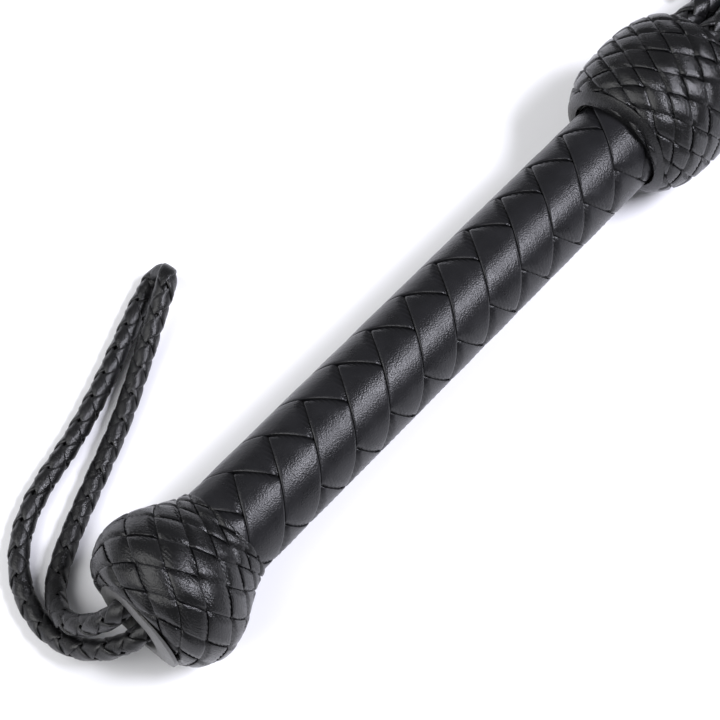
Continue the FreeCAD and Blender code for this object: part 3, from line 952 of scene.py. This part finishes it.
@dataclass
class Tails:
    """Nine round braids from the neck's mouth, folded once and lying in a tied hank."""

    diameter: float = 8.2
    route: Sequence[tuple[float, float]] = (
        (114.0, 0.0), (136.0, 0.0), (160.0, -1.0), (190.0, -3.5), (226.0, -8.5),
        (264.0, -12.5), (300.0, -14.0), (336.0, -11.0), (360.0, 8.5), (363.0, 39.0),
        (344.0, 63.0), (313.0, 67.0), (281.0, 45.0), (250.0, 27.0), (224.0, 23.2),
        (200.0, 25.7), (176.0, 31.0))
    heights: Sequence[float] = (AXIS_Z, AXIS_Z, 18.8) + (HANK_Z,) * 14
    knot_length: float = 9.0
    knot_radius: float = 4.15
    wrap_height: float = 0.33
    tip_length: float = 15.5
    tip_half_width: float = 1.5
    tip_half_thickness: float = 0.3
    step_aside: float = 1.7
    lean_degrees: float = 3.0

    def column_line(self, column: int) -> list[tuple[float, float]]:
        """Move the bundle's plan line sideways for one of its three columns.

        Args:
            column: 1 for the inner column, 0 for the middle one, -1 for the outer one.

        Returns:
            The column's plan points. An outer column ends sooner and steps aside.
        """
        plan = np.array(self.route)
        ahead = unit(np.diff(plan, axis=0))
        before = np.vstack([ahead[:1], ahead])
        after = np.vstack([ahead, ahead[-1:]])
        middle = unit(before + after)
        left = np.stack([-middle[:, 1], middle[:, 0]], axis=1)
        share = 1 / np.sum(middle * before, axis=1)
        moved = plan + left * (column * TAIL_PITCH * share)[:, None]
        last = len(plan) - 2 + column
        if column < 1:
            offset = column * TAIL_PITCH - self.step_aside
            moved[last] = plan[last] + left[last] * offset * share[last]
        return [tuple(p) for p in moved[:last + 1].tolist()]

    def tail_route(self, ring: tuple[float, float], cell: tuple[int, int]) -> list[Point]:
        """Give one tail's control points.

        Args:
            ring: Its place in the neck's mouth, across and up from the axis.
            cell: Its column and layer in the hank.

        Returns:
            The points in millimetres.
        """
        column, layer = cell
        line = self.column_line(column)
        points = [(self.route[i][0], ring[0], self.heights[i] + ring[1]) for i in range(2)]
        points += [(x, y, self.heights[i + 2] + layer * TAIL_PITCH)
                   for i, (x, y) in enumerate(line[2:])]
        return points

    def end_heading(self, column: int) -> np.ndarray:
        """Work out the way a column's end knots point.

        Args:
            column: 1 for the inner column, 0 for the middle one, -1 for the outer one.

        Returns:
            A unit vector.
        """
        following = min(len(self.route) - 1 + column, len(self.route) - 1)
        run = np.array(self.route[following]) - np.array(self.route[following - 1])
        lean = math.radians(self.lean_degrees) if column < 1 else 0.0
        run = run / np.linalg.norm(run)
        return np.array([run[0] * math.cos(lean) + run[1] * math.sin(lean),
                         run[1] * math.cos(lean) - run[0] * math.sin(lean), 0.0])

    def end_knot(self, number: int, base: np.ndarray, heading: np.ndarray,
                 material: bpy.types.Material) -> bpy.types.Object:
        """Make the knot that closes one tail, and the four lace ends that stick out of it.

        Args:
            number: The tail's number.
            base: Where the knot starts, in millimetres.
            heading: The way it points.
            material: Its finish.

        Returns:
            The knot.
        """
        left = np.array([-heading[1], heading[0], 0.0])
        up = np.array([0.0, 0.0, 1.0])
        work = Patchwork()
        sides = 20
        turn = 2 * np.pi * np.arange(sides) / sides
        steps = np.linspace(0, 1, 34)
        rings = []
        for t in steps:
            body = self.knot_radius * math.sin(math.pi * min(max(t, 0.06), 0.94)) ** 0.35
            # Three laid wraps, slanting round the knot.
            wraps = self.wrap_height * np.abs(np.sin(3 * np.pi * t + 0.5 * np.sin(turn + number)))
            r = np.maximum(body - self.wrap_height + wraps, 0.4)
            here = base + heading * (t * self.knot_length)
            rings.append(here + np.outer(np.cos(turn) * r, left) + np.outer(np.sin(turn) * r, up))
        # Painted shade in the grooves between the wraps.
        dips = np.array([1 - np.abs(np.sin(3 * np.pi * t + 0.5 * np.sin(turn + number)))
                         for t in steps]) ** 4
        work.add_rings(np.array(rings), dips=dips)
        for k in range(4):
            spread = math.radians(90 * k + 35 + 11 * number)
            out = left * math.cos(spread) + up * math.sin(spread)
            flat = np.cross(heading, out)
            strip = []
            for t in np.linspace(0, 1, 12):
                bow = 1.0 + 0.9 * t * (0.6 + 0.4 * math.sin(number + 2.1 * k))
                reach = self.tip_length * (1 - 0.12 * ((number + k) % 3)) * t - 0.6
                here = base + heading * (self.knot_length + reach) + out * bow
                wide = flat * (self.tip_half_width - 0.35 * t)
                thick = out * self.tip_half_thickness
                strip.append([here + wide + thick, here - wide + thick,
                              here - wide - thick, here + wide - thick])
            work.add_rings(np.array(strip), edges=np.full((12, 4), 0.4))
        return work.finish(f"tail_end_{number}", material)

    def build(self) -> None:
        material = BRAID_HIDE.make()
        braid = RoundBraid(self.diameter, lead=21.0, lace_width=5.3, lace_thickness=1.8,
                           step=1.1, weave_depth=0.6, sides=10)
        places = [((0.0, 0.0), (0, 0))]
        for k in range(8):
            angle = math.radians(45 * k)
            ring = (TAIL_RING_RADIUS * math.cos(angle), TAIL_RING_RADIUS * math.sin(angle))
            places.append((ring, (round(math.cos(angle)), round(math.sin(angle)))))
        hanks = {1: "hank_inner", 0: "hank_middle", -1: "hank_outer"}
        for number, (ring, cell) in enumerate(places, 1):
            route = self.tail_route(ring, cell)
            line = spline_points(f"tail_route_{number}", route)
            tail = braid.build(f"tail_braid_{number}", line, material, seed=0.7 * number)
            knot = self.end_knot(number, line[-1], self.end_heading(cell[0]), material)
            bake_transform(tail)
            finish_piece(tail, None, Slot.BRAID, f"tail_{number}", hanks[cell[0]])
            finish_piece(knot, Body.TAILS, Slot.BRAID, f"tail_knot_{number}")


@dataclass
class HankTie:
    """Flat strap round both runs of the hank, its end tucked under itself."""

    width: float = 12.0
    thickness: float = 0.8
    corner: float = 3.2

    def loop_line(self, low: Vector, high: Vector) -> np.ndarray:
        """Run a rounded rectangle through the strap's middle.

        Args:
            low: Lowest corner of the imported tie, in millimetres.
            high: Its highest corner.

        Returns:
            Points across and up, shaped (count, 2).
        """
        half = self.thickness / 2
        y0, y1, z0, z1 = low.y + half, high.y - half, low.z + half, high.z - half
        line = []
        for cy, cz, first in ((y1 - self.corner, z1 - self.corner, 0),
                              (y0 + self.corner, z1 - self.corner, 90),
                              (y0 + self.corner, z0 + self.corner, 180),
                              (y1 - self.corner, z0 + self.corner, 270)):
            for turn in np.radians(np.linspace(first, first + 90, 9)):
                line.append((cy + self.corner * math.cos(turn), cz + self.corner * math.sin(turn)))
        return np.array(line)

    def build(self) -> None:
        """Build the strap."""
        low, high = (Vector(c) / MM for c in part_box("hank_tie"))
        x = (low.x + high.x) / 2
        line = self.loop_line(low, high)
        centre = line.mean(axis=0)
        heading = unit(np.roll(line, -1, axis=0) - np.roll(line, 1, axis=0))
        out = np.stack([heading[:, 1], -heading[:, 0]], axis=1)
        out *= np.sign(np.sum(out * (line - centre), axis=1))[:, None]
        section = []
        half, thick = self.width / 2, self.thickness / 2
        for a, b in ((-1, -0.5), (-0.96, 1), (0.96, 1), (1, -0.5), (0.96, -1), (-0.96, -1)):
            section.append((a * half, b * thick))
        rings = np.array([[(x + w, p[0] + o[0] * t, p[1] + o[1] * t) for w, t in section]
                          for p, o in zip(line, out)])
        work = Patchwork()
        work.add_rings(rings, closed=True)
        tongue = []
        for t in np.linspace(0, 1, 14):
            y = centre[0] - 9.0 + 24.0 * t
            z = high.z + 0.15 + 0.5 * math.sin(math.pi * t)
            narrow = (half - 1.2) * (1 - 0.85 * max(0.0, t - 0.75) * 4 * max(0.0, t - 0.75))
            tongue.append([(x - narrow, y, z - 0.3), (x + narrow, y, z - 0.3),
                           (x + narrow, y, z + 0.35), (x - narrow, y, z + 0.35)])
        work.add_rings(np.array(tongue), edges=np.full((14, 4), 0.3))
        finish_piece(work.finish("hank_strap", STRAP_HIDE.make(), 35.0), Body.TAILS, Slot.STRAP,
                     "hank_tie")


@dataclass
class HiddenParts:
    """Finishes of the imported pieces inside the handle, which keep their own shapes."""

    finishes: dict[str, Any] = field(default_factory=lambda: {
        "handle_core": TurnedHardwood(), "loop_pin": DrawnSteel(),
        "handle_sleeve": SLEEVE_HIDE, "pommel_knot_foundation": BARE_HIDE,
        "neck_knot_foundation": BARE_HIDE, "loop_roots": BRAID_HIDE, "tail_roots": BRAID_HIDE,
        "pommel_binding": WaxedThread(), "neck_binding": WaxedThread(),
        "tail_root_binding": WaxedThread()})

    def dress(self) -> None:
        """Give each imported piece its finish."""
        made = {}
        for node, finish in self.finishes.items():
            if finish.name not in made:
                made[finish.name] = finish.make()
            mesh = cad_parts[node].data
            mesh.materials.clear()
            mesh.materials.append(made[finish.name])
            LOG.info("%s: finished as %s", node, finish.name)


# --- studio ------------------------------------------------------------------------------------
@dataclass
class Studio:
    """Pale table, soft lights and the camera."""

    azimuth: float = -48.0
    elevation: float = 64.5
    distance: float = 650.0
    target: Point = (-22.34, 7.54, 26.37)
    roll: float = 0.45
    lens: float = 113.85
    paper: str = "#f4f4f5"

    def camera(self) -> None:
        """Place the camera at its fitted angle and distance."""
        a, e = math.radians(self.azimuth), math.radians(self.elevation)
        back = Vector((math.sin(a) * math.cos(e), -math.cos(a) * math.cos(e), math.sin(e)))
        right = Vector((math.cos(a), math.sin(a), 0.0))
        up = back.cross(right)
        seen = bpy.data.cameras.new("camera")
        seen.lens = self.lens
        seen.sensor_width = 36.0
        seen.clip_start = 0.01
        made = bpy.data.objects.new("camera", seen)
        bpy.context.scene.collection.objects.link(made)
        level = Matrix((right, up, back)).transposed()
        turn = (level @ Matrix.Rotation(math.radians(self.roll), 3, "Z")).to_4x4()
        where = Vector(self.target) * MM + back * self.distance * MM
        made.matrix_world = Matrix.Translation(where) @ turn
        bpy.context.scene.camera = made

    def table(self) -> None:
        """Lay a pale sheet of paper under the object."""
        mesh = bpy.data.meshes.new("table")
        reach, level = 2.5, -0.2 * MM
        corners = [(x * reach, y * reach, level) for x, y in ((-1, -1), (1, -1), (1, 1), (-1, 1))]
        mesh.from_pydata(corners, [], [(0, 1, 2, 3)])
        made = bpy.data.objects.new("table", mesh)
        bpy.context.scene.collection.objects.link(made)
        material, tree = new_material("matt_white_paper")
        place = add_node(tree, "TexCoord").outputs["Object"]
        mottle = add_node(tree, "TexNoise", {"Scale": 9.0, "Detail": 4.0}, {"Vector": place})
        tone = add_node(tree, "Mix", {"data_type": "RGBA", 6: linear(self.paper),
                                      7: linear("#ececef")}, {0: mottle.outputs["Fac"]})
        shader = add_node(tree, "BsdfPrincipled", {"Roughness": 0.9, "Specular IOR Level": 0.1},
                          {"Base Color": tone.outputs[2]})
        add_node(tree, "OutputMaterial", {}, {"Surface": shader.outputs[0]})
        made.data.materials.append(material)

    def light(self, name: str, direction: Point, distance: float, size: tuple[float, float],
              watts: float, colour: Point = (1.0, 1.0, 1.0)) -> None:
        """Hang one soft box that faces the middle of the grip.

        Args:
            name: Its name.
            direction: From the object to the light.
            distance: In metres.
            size: Its two sides in metres.
            watts: Its power.
            colour: Its tint.
        """
        lamp = bpy.data.lights.new(name, "AREA")
        lamp.shape = "RECTANGLE"
        lamp.size, lamp.size_y = size
        lamp.energy = watts
        lamp.color = colour
        made = bpy.data.objects.new(name, lamp)
        bpy.context.scene.collection.objects.link(made)
        away = Vector(direction).normalized()
        made.location = away * distance
        made.rotation_euler = away.to_track_quat("Z", "Y").to_euler()

    def build(self) -> None:
        """Set up the table, the lights and the pale room."""
        self.table()
        self.light("key_softbox", (0.32, -0.47, 0.84), 1.1, (0.44, 0.26), 16.0,
                   (0.9, 0.9, 1.0))
        self.light("high_fill", (-0.75, 0.35, 0.9), 1.6, (1.4, 1.4), 24.0)
        world = bpy.data.worlds.new("pale_room")
        bpy.context.scene.world = world
        world.use_nodes = True
        world.node_tree.nodes["Background"].inputs["Color"].default_value = (0.95, 0.96, 1.0, 1)
        world.node_tree.nodes["Background"].inputs["Strength"].default_value = 0.28
        bpy.context.scene.view_settings.view_transform = "Standard"


def main() -> None:
    """Build the whole object, camera and cords first."""
    logging.basicConfig(level=logging.INFO, format="%(message)s")
    studio = Studio()
    studio.camera()
    WristLoop().build()
    Tails().build()
    GripCover().build()
    PommelKnot().build()
    NeckKnot().build()
    HankTie().build()
    HiddenParts().dress()
    studio.build()


if __name__ == "__main__":
    main()
